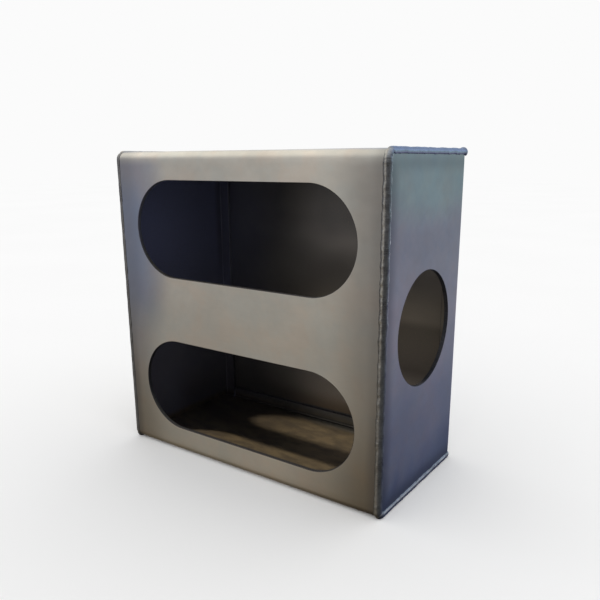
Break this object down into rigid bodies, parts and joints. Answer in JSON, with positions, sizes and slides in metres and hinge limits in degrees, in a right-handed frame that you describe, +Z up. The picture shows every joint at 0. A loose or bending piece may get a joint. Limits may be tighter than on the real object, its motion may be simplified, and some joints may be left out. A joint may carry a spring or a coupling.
{
  "type": "vehicle lamp box",
  "caption": "Welded bare steel box for vehicle lamps: oval lamp cut-outs in the folded front, a round marker lamp cut-out in one end, and a closed back with return lips.",
  "frame": {"origin": "centre of the flat underside that the box rests on, midway between the front face and the back edge of the end plates", "axes": "+Z up; the front with the oval cut-outs faces -Y; +X is the right end, with the round cut-out"},
  "size_m": [0.2174, 0.1103, 0.2167],
  "materials": {
    "sheet_steel": "bare rolled sheet steel, satin, with mill marks",
    "weld_metal": "as-welded steel bead, oxidised"
  },
  "bodies": {
    "root": {"front_wrap": "sheet_steel", "right_end_plate": "sheet_steel", "left_end_plate": "sheet_steel", "back_plate": "sheet_steel", "right_front_seam_weld": "weld_metal", "right_top_seam_weld": "weld_metal", "right_bottom_seam_weld": "weld_metal", "left_front_seam_weld": "weld_metal", "left_top_seam_weld": "weld_metal", "left_bottom_seam_weld": "weld_metal", "back_plate_stitch_welds": "weld_metal"}
  },
  "joints": []
}
